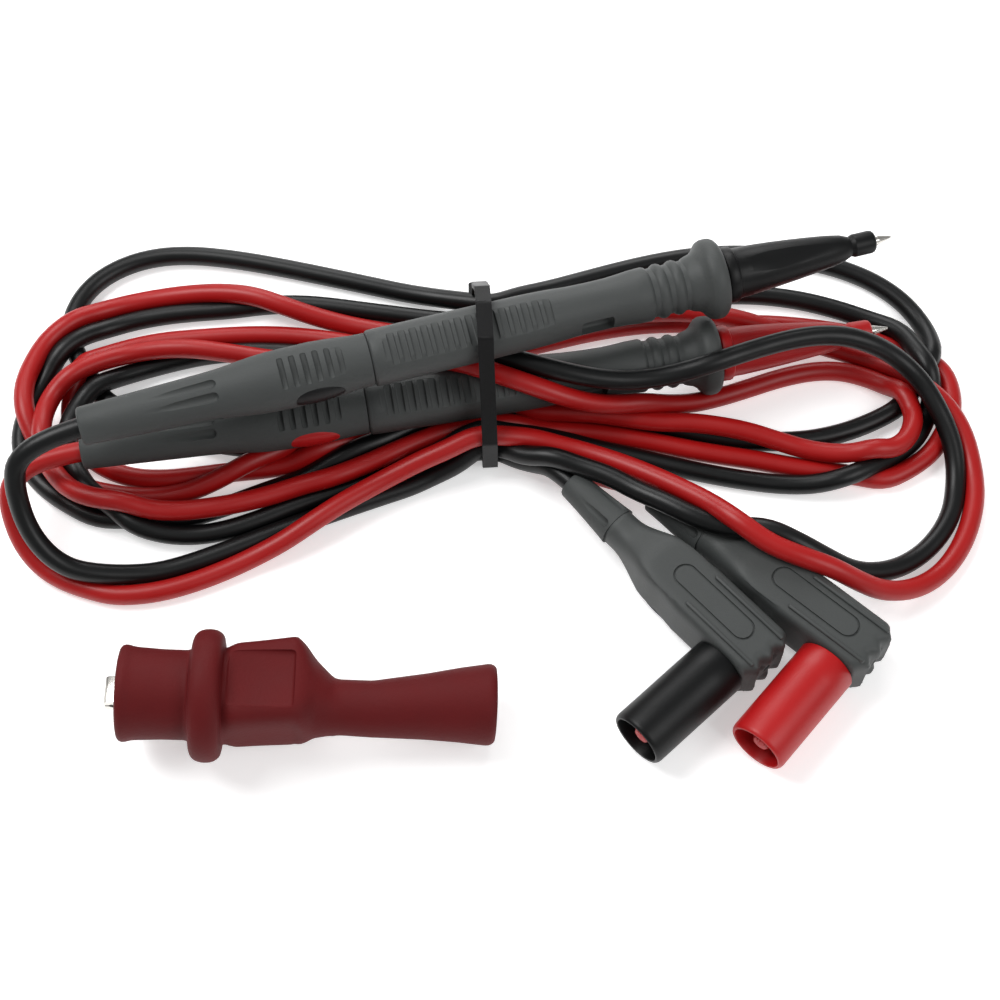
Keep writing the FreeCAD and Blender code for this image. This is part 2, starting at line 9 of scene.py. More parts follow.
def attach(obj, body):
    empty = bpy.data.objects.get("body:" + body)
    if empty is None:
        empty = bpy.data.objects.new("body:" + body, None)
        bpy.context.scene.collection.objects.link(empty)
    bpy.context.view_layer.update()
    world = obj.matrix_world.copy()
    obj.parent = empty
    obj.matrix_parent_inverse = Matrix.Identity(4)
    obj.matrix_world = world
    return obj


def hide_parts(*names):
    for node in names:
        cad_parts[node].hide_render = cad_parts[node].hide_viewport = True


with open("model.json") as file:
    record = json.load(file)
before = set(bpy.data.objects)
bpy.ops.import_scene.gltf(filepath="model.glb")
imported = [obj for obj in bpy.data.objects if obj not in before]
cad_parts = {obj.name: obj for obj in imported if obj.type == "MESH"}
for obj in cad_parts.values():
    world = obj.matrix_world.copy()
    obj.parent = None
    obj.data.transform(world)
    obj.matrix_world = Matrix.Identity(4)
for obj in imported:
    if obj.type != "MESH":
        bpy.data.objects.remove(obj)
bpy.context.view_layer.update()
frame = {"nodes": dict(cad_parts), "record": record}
mm = 0.001

# Each lead's route, stretch by stretch from its probe to its plug, in millimetres. A stretch has
# the height it lies at before the leads settle on each other, and its points over the table.
# A tail's points have their own heights. It starts at the CAD tail's own first point.
blackTail = [(-73.43, 8.05, 26.64), (-86.9, 4.21, 26.84), (-92.0, -2.0, 19.5),
             (-89.0, -10.5, 10.9)]
blackRoute = [
    (9, [(-81, -16), (-66, -14), (-50, -7), (-34, 2), (-20, 9), (-8, 12)]),
    (9, [(4, 12), (17, 8), (31, 0), (45, -9), (60, -16), (76, -16), (89, -6), (95, 6)]),
    (12, [(94, 18), (88, 29), (78, 36), (64, 35), (50, 30)]),
    (18.5, [(36, 24), (24, 23), (13, 24), (1, 26), (-12, 30)]),
    (8, [(-24, 36), (-40, 40), (-58, 39), (-75, 35), (-87, 25), (-87, 11), (-77, -1), (-61, -6),
         (-46, -2), (-31, 4), (-18, 10), (-7, 15)]),
    (6.5, [(3, 18), (18, 18), (34, 12), (50, 8), (66, 6), (81, 10), (92, 23), (92, 38), (79, 48),
           (60, 54), (42, 53), (26, 49), (9, 46)]),
    (5, [(-6, 45), (-22, 48), (-40, 50), (-58, 50), (-76, 48), (-89, 42), (-96, 28), (-95, 13),
         (-85, 1), (-68, -4), (-53, 1), (-40, 9), (-26, 15), (-11, 20)]),
    (6, [(2, 23), (16, 24), (32, 20), (49, 16), (66, 16), (84, 23), (95, 37), (89, 52), (75, 61),
         (56, 64), (40, 63), (24, 58), (9, 53)]),
    (2, [(-6, 50), (-22, 54), (-38, 58), (-54, 62), (-72, 65), (-87, 57), (-91, 43), (-84, 29),
         (-70, 20), (-53, 15), (-37, 15), (-20, 15), (-6, 15)]),
    (5, [(4, 14)]),
]
redTail = [(-75.95, 9.99, 12.93), (-86.0, 8.1, 13.1), (-92.6, 4.2, 12.7), (-94.6, -4.0, 11.6),
           (-89.6, -11.6, 10.8)]
redRoute = [
    (11, [(-80, -15.6), (-67, -18), (-53, -12), (-39, -4), (-25, 5), (-12, 12)]),
    (10, [(2, 15), (16, 14), (30, 7), (44, -6), (58, -17), (72, -21), (86, -17), (96, -4), (98, 13),
          (91, 30), (76, 38), (60, 43), (44, 47), (28, 46), (12, 42)]),
    (7, [(-4, 39), (-20, 42), (-36, 47), (-52, 51), (-69, 53), (-85, 48), (-96, 35), (-97, 19),
         (-88, 7), (-74, 3), (-59, 5), (-45, 12), (-31, 18), (-17, 22)]),
    (9.5, [(-3, 24), (12, 24), (28, 22), (44, 20), (58, 16), (71, 10), (82, 11), (88, 21), (83, 33),
           (68, 37), (50, 29)]),
    (16, [(36, 22), (24, 21), (11, 22), (-2, 23), (-14, 27)]),
    (9, [(-26, 32), (-42, 35), (-58, 38), (-76, 38), (-90, 30), (-94, 17), (-86, 4), (-73, -2),
         (-58, -1), (-43, 4), (-29, 10), (-14, 16)]),
    (4, [(1, 20), (16, 21), (32, 19), (48, 15), (64, 10), (81, 8), (94, 16), (96, 31), (86, 42),
         (69, 45), (52, 44), (36, 47), (20, 44), (6, 40)]),
    (3.5, [(-8, 38), (-24, 39), (-41, 43), (-58, 42), (-76, 42), (-88, 32), (-87, 16), (-75, 7),
           (-59, 7), (-44, 12), (-28, 16), (-13, 18)]),
    (4, [(0, 19), (13, 14), (22, 9)]),
]

probes = {
    "black": {"rear": (-77.28, 6.95, 26.7), "turn": 15.9, "lean": 0.8, "roll": 20},
    "red": {"rear": (-79.88, 9.25, 13.0), "turn": 10.6, "lean": 1.0, "roll": 20},
}
plugs = {
    "black": {"rear": (15.62, 5.25, 7.2), "turn": -47.4},
    "red": {"rear": (31.62, 2.15, 7.2), "turn": -41.0},
}
cable = {
    "diameter": 4.0, "length": {"black": 1.42, "red": 1.4}, "divide": 5, "smooth": 4, "round": 5,
    "gap": 0.08, "rounds": 1100, "relist": 12, "listWithin": 2.5, "along": 3, "pull": 0.10, "gravity": 0.04,
    "latePull": 0.4, "lateFrom": 0.8, "stiff": ((1, 0.08), (2, 0.03), (4, 0.012)), "stretch": 0.6,
    "push": 1.1, "inProbe": 22, "inPlug": 17, "entry": (-5, 4, 11), "tooNear": 3.6,
}
tieLoop = [(13.6, 1.2), (47.2, 1.2), (50.2, 4.8), (48.7, 10.8), (34.8, 30.2), (30.2, 32.4),
           (24.1, 30.8), (12.1, 11.8), (11.3, 4.8)]
tieX, tieReach = -1.38, 3.2


def direction(turn, lean=0.0):
    t, k = math.radians(turn), math.radians(lean)
    return np.array([math.cos(k) * math.cos(t), math.cos(k) * math.sin(t), -math.sin(k)])


def onProbe(colour, along):
    p = probes[colour]
    return np.array(p["rear"]) + direction(p["turn"], p["lean"]) * along


def routeSpline(colour, points):
    # the route as one NURBS spline, which passes near its points
    curve = bpy.data.curves.new(colour + "Route", "CURVE")
    curve.dimensions = "3D"
    spline = curve.splines.new("NURBS")
    spline.points.add(len(points) - 1)
    for made, point in zip(spline.points, points):
        made.co = (*(float(v) * mm for v in point), 1.0)
    spline.order_u = 3
    spline.use_endpoint_u = True
    spline.resolution_u = cable["divide"]
    thing = bpy.data.objects.new(colour + "Route", curve)
    bpy.context.scene.collection.objects.link(thing)
    return thing


def splineLine(thing):
    # the points that the spline itself passes through
    line = bpy.data.meshes.new_from_object(thing.evaluated_get(bpy.context.evaluated_depsgraph_get()))
    found = np.array([v.co[:] for v in line.vertices], float) / mm
    bpy.data.meshes.remove(line)
    return found


def startRoute(colour, tail, stretches):
    points = list(tail)
    for high, over in stretches:
        points += [(x, y, high) for x, y in over]
    plug = plugs[colour]
    entry, way = np.array(plug["rear"]), direction(plug["turn"])
    points += [entry + way * along for along in cable["entry"]]
    thing = routeSpline(colour, points)
    bpy.context.view_layer.update()
    found = splineLine(thing)
    bpy.data.objects.remove(thing)
    return found


# what the leads lie against, each wall as start, end and radius along a probe or a plug
walls = {
    "probe": [(2, 26, 4.4), (26, 36, 5.3), (36, 58, 5.75), (58, 122, 5.45), (123.4, 126.8, 7.6)],
    "redSleeve": [(127, 160, 5.7), (160, 192, 3.6)],
    "relief": (6, 14, 4.4), "housing": (24, 47, 6.5), "housingSides": (-2.2, 2.2),
    "shroud": (8, 28, 5.9), "shroudAt": 46.6,
}


def capsules():
    found = []
    for colour in probes:
        for a, b, r in walls["probe"] + (walls["redSleeve"] if colour == "red" else []):
            found.append((onProbe(colour, a), onProbe(colour, b), r))
    for plug in plugs.values():
        entry, way = np.array(plug["rear"]), direction(plug["turn"])
        across = np.array([way[1], -way[0], 0.0])
        a, b, r = walls["relief"]
        found.append((entry + way * a, entry + way * b, r))
        a, b, r = walls["housing"]
        for side in walls["housingSides"]:
            found.append((entry + way * a + across * side, entry + way * b + across * side, r))
        a, b, r = walls["shroud"]
        root = entry + way * walls["shroudAt"]
        found.append((root + across * a, root + across * b, r))
    return found


def pushOut(points, start, end, radius):
    d = end - start
    t = np.clip(((points - start) @ d) / (d @ d), 0, 1)
    away = points - start - t[:, None] * d
    far = np.linalg.norm(away, axis=1)
    near = far < radius
    if near.any():
        points[near] += away[near] / np.maximum(far[near], 1e-6)[:, None] * (radius - far[near])[:, None]


def settle(routes):
    # relaxes both leads together until no two stretches are nearer than a diameter
    start = np.concatenate(routes)
    first = len(routes[0])
    points, target = start.copy(), start[:, :2].copy()
    count = len(points)
    lead = np.arange(count) >= first
    joined = np.ones(count - 1, bool)
    joined[first - 1] = False
    rest = np.linalg.norm(np.diff(start[:, :2], axis=0), axis=1)
    fixed = np.zeros(count, bool)
    for a, b in ((0, first), (first, count)):
        far = np.concatenate([[0], np.cumsum(np.linalg.norm(np.diff(start[a:b], axis=0), axis=1))])
        fixed[a:b] = (far < cable["inProbe"]) | (far > far[-1] - cable["inPlug"])
    held, radius = start[fixed].copy(), cable["diameter"] / 2
    solid, index = capsules(), np.arange(count)
    free = ~fixed
    loop = np.array(tieLoop)
    middle = loop.mean(axis=0)
    apart = cable["diameter"] + cable["gap"]
    for turn in range(cable["rounds"]):
        if turn % cable["relist"] == 0:
            gap = np.linalg.norm(points[:, None] - points[None], axis=2)
            near = (gap < apart + cable["listWithin"]) & (index[:, None] < index[None])
            near &= (lead[:, None] != lead[None]) | (index[None] - index[:, None] > cable["along"])
            left, right = np.nonzero(near)
        points[free, 2] -= cable["gravity"]
        ease = cable["pull"] * (1 if turn < cable["rounds"] * cable["lateFrom"] else cable["latePull"])
        points[free, :2] += ease * (target[free] - points[free, :2])
        for reach, share in cable["stiff"]:
            mid = (points[:-2 * reach] + points[2 * reach:]) / 2 - points[reach:-reach]
            inner = lead[:-2 * reach] == lead[2 * reach:]
            points[reach:-reach][inner] += share * mid[inner]
        for _ in range(2):
            d = np.diff(points, axis=0)
            size = np.linalg.norm(d, axis=1)
            fix = np.where(joined, 0.5 * (size - rest) / np.maximum(size, 1e-6), 0)
            fix = fix[:, None] * d * cable["stretch"]
            points[:-1] += fix
            points[1:] -= fix
            d = points[right] - points[left]
            size = np.linalg.norm(d, axis=1)
            hit = size < apart
            push = d[hit] / np.maximum(size[hit], 1e-6)[:, None] * (0.5 * (apart - size[hit]))[:, None]
            move, hits = np.zeros_like(points), np.zeros(count)
            np.add.at(move, left[hit], -push)
            np.add.at(move, right[hit], push)
            np.add.at(hits, left[hit], 1)
            np.add.at(hits, right[hit], 1)
            points += move / np.maximum(np.sqrt(hits), 1)[:, None] * cable["push"]
            out = points[free]
            for a, b, r in solid:
                pushOut(out, a, b, r + radius)
            points[free] = out
            tied = free & (np.abs(points[:, 0] - tieX) < tieReach)
            for a, b in zip(loop, np.roll(loop, -1, axis=0)):
                way = (b - a) / np.linalg.norm(b - a)
                inward = np.array([-way[1], way[0]])
                if inward @ (middle - a) < 0:
                    inward = -inward
                deep = (points[tied, 1:] - a) @ inward - radius
                points[tied, 1:] -= np.minimum(deep, 0)[:, None] * inward
            points[:, 2] = np.maximum(points[:, 2], radius)
            points[fixed] = held
    gap = np.linalg.norm(points[:, None] - points[None], axis=2)
    far = (lead[:, None] != lead[None]) | (np.abs(index[None] - index[:, None]) > cable["along"])
    close = np.where(far, gap, np.inf).min(axis=1)
    print("settled, nearest two stretches", round(float(close.min()), 2), "mm; too near:",
          int((close < cable["tooNear"]).sum()), "of", count, "top", round(float(points[:, 2].max()), 1))
    return points[:first], points[first:]


def node(tree, kind, **values):
    made = tree.nodes.new(kind)
    for name, value in values.items():
        if hasattr(made, name):
            setattr(made, name, value)
        else:
            made.inputs[name.replace("_", " ")].default_value = value
    return made


# what every finish shares: size of its drift, spread of its gloss, size and lift of its grain
look = {"cloudScale": 90.0, "smoother": 0.07, "rougher": 0.09, "grain": 0.0006, "lift": 0.0004}


def finishMaterial(name, colour, rough, bump=0.05, vary=0.12, metal=0.0, specular=0.5):
    # moulded or drawn surface: slight colour drift, fine grain bump and uneven gloss
    material = bpy.data.materials.new(name)
    material.use_nodes = True
    tree = material.node_tree
    shader = tree.nodes["Principled BSDF"]
    place = node(tree, "ShaderNodeTexCoord")
    cloud = node(tree, "ShaderNodeTexNoise", Scale=look["cloudScale"], Detail=4.0, Roughness=0.6)
    fine = node(tree, "ShaderNodeTexNoise", Scale=1 / look["grain"], Detail=3.0, Roughness=0.7)
    ramp = node(tree, "ShaderNodeMix", data_type="RGBA")
    dark = [c * (1 - vary) for c in colour]
    light = [min(1, c * (1 + vary)) for c in colour]
    ramp.inputs["A"].default_value = (*dark, 1)
    ramp.inputs["B"].default_value = (*light, 1)
    gloss = node(tree, "ShaderNodeMapRange")
    gloss.inputs["To Min"].default_value = max(0.03, rough - look["smoother"])
    gloss.inputs["To Max"].default_value = min(1, rough + look["rougher"])
    lift = node(tree, "ShaderNodeBump", Strength=bump, Distance=look["lift"])
    link = tree.links.new
    link(place.outputs["Object"], cloud.inputs["Vector"])
    link(place.outputs["Object"], fine.inputs["Vector"])
    link(cloud.outputs["Fac"], ramp.inputs["Factor"])
    link(ramp.outputs["Result"], shader.inputs["Base Color"])
    link(cloud.outputs["Fac"], gloss.inputs["Value"])
    link(gloss.outputs["Result"], shader.inputs["Roughness"])
    link(fine.outputs["Fac"], lift.inputs["Height"])
    link(lift.outputs["Normal"], shader.inputs["Normal"])
    shader.inputs["Metallic"].default_value = metal
    shader.inputs["Specular IOR Level"].default_value = specular
    return material


def makeMaterials():
    made = {
        "blackCable": finishMaterial("blackCable", (0.002, 0.0024, 0.0026), 0.38, specular=0.32),
        "redCable": finishMaterial("redCable", (0.34, 0.005, 0.005), 0.38, specular=0.36),
        "greyRubber": finishMaterial("greyRubber", (0.046, 0.050, 0.049), 0.62, bump=0.16, specular=0.36),
        "greyPlastic": finishMaterial("greyPlastic", (0.047, 0.051, 0.050), 0.54, bump=0.12, specular=0.36),
        "blackPlastic": finishMaterial("blackPlastic", (0.0018, 0.0021, 0.0023), 0.42, bump=0.06,
                                       specular=0.24),
        "redPlastic": finishMaterial("redPlastic", (0.38, 0.006, 0.007), 0.38, specular=0.36),
        "clipVinyl": finishMaterial("clipVinyl", (0.095, 0.0035, 0.0045), 0.66, bump=0.2, vary=0.16,
                                    specular=0.2),
        "nickel": finishMaterial("nickel", (0.66, 0.64, 0.60), 0.24, bump=0.04, vary=0.06, metal=1.0),
        "brass": finishMaterial("brass", (0.72, 0.52, 0.22), 0.3, bump=0.04, vary=0.08, metal=1.0),
        "springSteel": finishMaterial("springSteel", (0.45, 0.45, 0.46), 0.3, bump=0.03, metal=1.0),
        "tieNylon": finishMaterial("tieNylon", (0.002, 0.002, 0.0023), 0.45, bump=0.08, specular=0.25),
        "whitePlastic": finishMaterial("whitePlastic", (0.75, 0.74, 0.70), 0.45),
    }
    print("materials", len(made))
    return made


def nodeMaterial(name):
    if name == "cable_tie":
        return "tieNylon"
    first, rest = name.split("_", 1)
    if first == "clip":
        return {"boot": "clipVinyl", "spring": "springSteel"}.get(rest, "nickel")
    kinds = {"probe_boot": "greyRubber", "plug_relief": "greyRubber", "probe_handle": "greyPlastic",
             "plug_housing": "greyPlastic", "needle": "nickel", "plug_pin": "nickel", "pin_spring": "nickel",
             "crimp_ferrule": "brass", "pin_holder": "whitePlastic", "pin_nose": "redPlastic"}
    return kinds.get(rest, first + "Plastic")


def dressFrame(materials):
    for name, thing in frame["nodes"].items():
        thing.data.materials.clear()
        thing.data.materials.append(materials[nodeMaterial(name)])
    print("CAD pieces dressed", len(frame["nodes"]))


def makeLead(colour, points, material):
    # the settled line is the control line of the finished lead
    count = len(points)
    lead = routeSpline(colour, points[[0, *range(1, count - 1, 2), count - 1]])
    lead.name = colour + "Lead"
    curve = lead.data
    curve.splines[0].resolution_u = cable["smooth"]
    curve.bevel_depth = cable["diameter"] / 2 * mm
    curve.bevel_resolution = cable["round"]
    curve.use_fill_caps = True
    curve.materials.append(material)
    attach(lead, "root")
    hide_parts(colour + "_lead_hank", colour + "_probe_tail", colour + "_plug_tail")
    long = float(np.linalg.norm(np.diff(points, axis=0), axis=1).sum()) * mm
    print(colour, "lead is", round(long, 3), "m")


def editAll():
    bpy.ops.object.mode_set(mode="EDIT")
    bpy.ops.mesh.select_all(action="SELECT")


def spun(name, outline, around):
    # an outline of (along, radius) drawn by extruding one point, then spun about X
    bpy.ops.object.select_all(action="DESELECT")
    bpy.ops.mesh.primitive_plane_add(size=mm)
    piece = bpy.context.object
    piece.name = piece.data.name = name
    editAll()
    bpy.ops.mesh.merge(type="CENTER")
    last = (0.0, 0.0)
    for i, (x, r) in enumerate([*outline, outline[0]]):
        step = ((x - last[0]) * mm, 0, (r - last[1]) * mm)
        if i == 0:
            bpy.ops.transform.translate(value=step)
        else:
            bpy.ops.mesh.extrude_vertices_move(TRANSFORM_OT_translate={"value": step})
        last = (x, r)
    bpy.ops.mesh.select_all(action="SELECT")
    bpy.ops.mesh.spin(steps=around, angle=2 * math.pi, center=(0, 0, 0), axis=(1, 0, 0))
    bpy.ops.mesh.select_all(action="SELECT")
    bpy.ops.mesh.remove_doubles(threshold=1e-6)
    bpy.ops.mesh.normals_make_consistent(inside=False)
    bpy.ops.object.mode_set(mode="OBJECT")
    return piece


def eased(keys, count, times=2):
    # corners of an outline spread evenly and softened
    keys = np.array(keys, float)
    far = np.concatenate([[0], np.cumsum(np.linalg.norm(np.diff(keys, axis=0), axis=1))])
    at = np.linspace(0, far[-1], count)
    line = np.stack([np.interp(at, far, keys[:, 0]), np.interp(at, far, keys[:, 1])], axis=1)
    for _ in range(times):
        line[1:-1] = (line[:-2] + 2 * line[1:-1] + line[2:]) / 4
    return [tuple(row) for row in line]


def block(low, high, corner=0.0):
    # a block between two corners, with rounded edges
    bpy.ops.object.select_all(action="DESELECT")
    bpy.ops.mesh.primitive_cube_add(size=1)
    piece = bpy.context.object
    low, high = np.array(low, float), np.array(high, float)
    editAll()
    bpy.ops.transform.resize(value=tuple((high - low) * mm))
    bpy.ops.transform.translate(value=tuple((low + high) / 2 * mm))
    if corner:
        bpy.ops.mesh.bevel(offset=corner * mm, segments=3, affect="EDGES")
    bpy.ops.object.mode_set(mode="OBJECT")
    return piece


def flute(reach, radius):
    # a drop shape with its round end at the origin and its long end towards -X
    bpy.ops.object.select_all(action="DESELECT")
    bpy.ops.mesh.primitive_uv_sphere_add(segments=20, ring_count=14, radius=radius * mm)
    piece = bpy.context.object
    editAll()
    bpy.ops.mesh.select_all(action="DESELECT")
    bpy.ops.object.mode_set(mode="OBJECT")
    for vertex in piece.data.vertices:
        vertex.select = vertex.co.x < -1e-7
    bpy.ops.object.mode_set(mode="EDIT")
    bpy.ops.transform.resize(value=(reach / radius, 1, 1), center_override=(0, 0, 0))
    bpy.ops.object.mode_set(mode="OBJECT")
    return piece


def copies(piece, moves, turns=None):
    # the piece moved by each step, or turned about X by each angle, as one object
    made = []
    for i, move in enumerate(moves):
        bpy.ops.object.select_all(action="DESELECT")
        piece.select_set(True)
        bpy.context.view_layer.objects.active = piece
        bpy.ops.object.duplicate(linked=False)
        again = bpy.context.object
        again.data.transform(Matrix.Translation(Vector(move) * mm))
        if turns is not None:
            again.data.transform(Matrix.Rotation(math.radians(turns[i]), 4, "X"))
        made.append(again)
    bpy.data.objects.remove(piece)
    bpy.ops.object.select_all(action="DESELECT")
    for again in made:
        again.select_set(True)
    bpy.context.view_layer.objects.active = made[0]
    if len(made) > 1:
        bpy.ops.object.join()
    return bpy.context.object


def combine(piece, tool, operation="DIFFERENCE"):
    # cuts the tool out of the piece, or joins it on
    bpy.ops.object.select_all(action="DESELECT")
    piece.select_set(True)
    bpy.context.view_layer.objects.active = piece
    step = piece.modifiers.new("shape", "BOOLEAN")
    step.operation = operation
    step.solver = "EXACT"
    step.object = tool
    bpy.ops.object.modifier_apply(modifier="shape")
    bpy.data.objects.remove(tool)


def reshape(piece, outer, inner, rule):
    # moves the vertices of a spun piece by a rule of place along, turn, radius and side of the wall
    data = piece.data
    spots = np.empty(len(data.vertices) * 3, np.float32)
    data.vertices.foreach_get("co", spots)
    spots = spots.reshape(-1, 3).astype(float) / mm
    along, radius = spots[:, 0], np.hypot(spots[:, 1], spots[:, 2])
    inside, outside = np.array(inner)[::-1], np.array(outer)
    middle = np.interp(along, outside[:, 0], outside[:, 1])
    middle = (middle + np.interp(along, inside[:, 0], inside[:, 1])) / 2
    made = rule(along, np.arctan2(spots[:, 2], spots[:, 1]), radius, radius > middle)
    data.vertices.foreach_set("co", (made * mm).astype(np.float32).ravel())
    data.update()


def blend(share):
    # a soft start and stop between 0 and 1
    share = np.clip(share, 0, 1)
    return share * share * (3 - 2 * share)


def squared(c, k, power):
    # how far a round section swells towards its corners, where a power of 2 leaves it round
    return (np.abs(c) ** power + np.abs(k) ** power) ** (-1 / power)


def finish(piece, name, place, body, material, stands, angle=35):
    # turns the piece to its place, with its object left at the origin
    way, side = direction(place["turn"], place.get("lean", 0.0)), direction(place["turn"] + 90)
    axes = Matrix(np.stack([way, side, np.cross(way, side)], axis=1).tolist()).to_4x4()
    roll = Matrix.Rotation(math.radians(place.get("roll", 0)), 4, "X")
    piece.matrix_world = Matrix.Translation(Vector(place["rear"]) * mm) @ axes @ roll
    bpy.ops.object.select_all(action="DESELECT")
    piece.select_set(True)
    bpy.context.view_layer.objects.active = piece
    bpy.ops.object.transform_apply(location=True, rotation=True, scale=True)
    bpy.ops.object.shade_smooth_by_angle(angle=math.radians(angle))
    piece.name = piece.data.name = name
    piece.data.materials.clear()
    piece.data.materials.append(material)
    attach(piece, body)
    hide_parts(stands)


boot = {
    "outside": [(0.0, 3.1), (0.15, 3.45), (0.5, 3.7), (6, 3.92), (12, 4.15), (18, 4.38), (24, 4.62),
                (27, 4.8), (29.5, 5.05), (32, 5.35), (34.5, 5.62), (37, 5.77), (40, 5.82), (44, 5.8),
                (48, 5.68), (51, 5.42), (53, 5.22), (54.5, 5.15), (55.9, 5.12)],
    "bore": 2.13, "flutesAt": [-16, 16, 90, 164, 196, 270], "fluteEnd": 25.5, "fluteLong": 16,
    "fluteWide": 1.05, "fluteHigh": 4.95, "slots": 6, "slotStart": 38.4, "slotPitch": 2.25,
    "slotWide": 1.2, "slotHalf": 3.2, "slotFloor": 4.8, "slotTop": 7.2, "slotCorner": 0.4,
}


def makeBoot(colour, material):
    b, half = boot, boot["slotHalf"]
    piece = spun("boot", [(0.0, b["bore"]), *b["outside"], (b["outside"][-1][0], b["bore"])], 72)
    drop = flute(b["fluteLong"], b["fluteWide"])
    combine(piece, copies(drop, [(b["fluteEnd"], 0, b["fluteHigh"])] * len(b["flutesAt"]), b["flutesAt"]))
    slot = block((0, -half, b["slotFloor"]), (b["slotWide"], half, b["slotTop"]), b["slotCorner"])
    row = [(b["slotStart"] + b["slotPitch"] * k, 0, 0) for k in range(b["slots"])] * 2
    combine(piece, copies(slot, row, [0] * b["slots"] + [180] * b["slots"]))
    finish(piece, colour + "ProbeBoot", probes[colour], "root", material,
           colour + "_probe_boot")


def sidesOf(colour):
    # turns that put a cut or an inlay on a probe's two sides, whatever its roll
    return [90 - probes[colour]["roll"], 270 - probes[colour]["roll"]]


grip = {
    "outside": [(56.0, 4.9), (56.25, 5.3), (56.6, 5.5), (58, 5.52), (75, 5.5), (88, 5.4), (92, 5.25),
                (96, 4.98), (100, 4.88), (104, 4.88), (107, 5.1), (109, 5.3), (111.6, 5.4), (112.1, 5.2),
                (112.4, 4.85), (113.4, 4.85), (113.7, 5.15), (114.2, 5.4), (114.8, 5.4), (115.3, 5.15),
                (115.6, 4.85), (116.6, 4.85), (116.9, 5.15), (117.4, 5.4), (118.0, 5.4), (118.5, 5.15),
                (118.8, 4.9), (119.7, 4.9), (120.1, 5.2), (120.7, 5.45), (121.8, 5.75), (122.6, 6.3),
                (123.2, 7.1), (123.7, 7.65), (124.4, 7.95), (125.2, 8.02), (126.0, 7.93), (126.6, 7.6),
                (127.0, 7.1), (127.1, 6.6), (127.1, 3.5), (142, 3.5)],
    "bore": [(142, 1.6), (138, 1.6), (138, 2.35), (56.0, 2.35)], "top": 8,
    "panel": (58.6, 93.0), "panelHalf": 3.9, "panelFloor": 5.1, "panelCorner": 0.5,
    "slots": 15, "slotsIn": 1.1, "slotWide": 1.5, "slotPitch": 2.2, "slotHalf": 3.55, "slotFloor": 4.55,
    "slotCorner": 0.35, "window": (97.2, 103.8), "windowHalf": 2.0, "windowFloor": 2.7,
    "windowCorner": 0.6,
}


def makeHandle(colour, material):
    g, top = grip, grip["top"]
    piece = spun("handle", g["outside"] + g["bore"], 72)
    start, end = g["panel"]
    row = [(start + g["slotsIn"] + g["slotPitch"] * k, 0, 0) for k in range(g["slots"])]
    for low, high, half, floor, corner, moves in (
            (start, end, g["panelHalf"], g["panelFloor"], g["panelCorner"], [(0, 0, 0)]),
            (0, g["slotWide"], g["slotHalf"], g["slotFloor"], g["slotCorner"], row)):
        cutter = block((low, -half, floor), (high, half, top), corner)
        combine(piece, copies(cutter, moves * 2, [0] * len(moves) + [180] * len(moves)))
    start, end = g["window"]
    half = g["windowHalf"]
    window = block((start, -half, g["windowFloor"]), (end, half, top), g["windowCorner"])
    combine(piece, copies(window, [(0, 0, 0)] * 2, sidesOf(colour)))
    finish(piece, colour + "ProbeHandle", probes[colour], "root", material,
           colour + "_probe_handle")


sleeve = {
    "outside": [(127.5, 5.2), (127.7, 5.45), (128.1, 5.6), (129.3, 5.6), (129.7, 5.45), (129.9, 5.1),
                (130.6, 4.95), (134, 4.9), (138, 4.65), (142, 4.25), (146, 3.75), (150, 3.2), (152.6, 2.7),
                (153.8, 2.2), (154.3, 1.98), (154.7, 2.1), (155.1, 2.3), (158.6, 2.3), (159.1, 2.15),
                (159.4, 1.85)],
    "bore": [(159.4, 1.25), (145, 1.25), (142.6, 3.7), (127.5, 3.7)],
    "flat": (132.6, 152.6), "flatHalf": 6, "flatHigh": 4.72, "flatLow": 2.9, "flatTop": 9,
}


def makeSleeve(colour, material):
    piece = spun("sleeve", sleeve["outside"] + sleeve["bore"], 64)
    (start, end), half, high, top = (sleeve[key] for key in ("flat", "flatHalf", "flatHigh", "flatTop"))
    flat = block((start, -half, high), (end, half, top))
    for vertex in flat.data.vertices:
        if vertex.co.x > (start + end) / 2 * mm and vertex.co.z < (high + top) / 2 * mm:
            vertex.co.z = sleeve["flatLow"] * mm
    combine(piece, copies(flat, [(0, 0, 0)] * 4, [0, 90, 180, 270]))
    finish(piece, colour + "TipSleeve", probes[colour], colour + "_sleeve", material,
           colour + "_tip_sleeve", 25)


inlay = {"half": (6.3, 2.5, 1.15), "at": (44.5, 0, 4.95)}


def makeInlays(colour, material):
    # two oval pads, each a crowned button set into the boot's side
    bpy.ops.object.select_all(action="DESELECT")
    bpy.ops.mesh.primitive_uv_sphere_add(segments=48, ring_count=24, radius=mm)
    piece = bpy.context.object
    editAll()
    bpy.ops.transform.resize(value=inlay["half"], center_override=(0, 0, 0))
    bpy.ops.object.mode_set(mode="OBJECT")
    piece = copies(piece, [inlay["at"]] * 2, sidesOf(colour))
    finish(piece, colour + "GripInlays", probes[colour], "root", material,
           colour + "_grip_inlays")


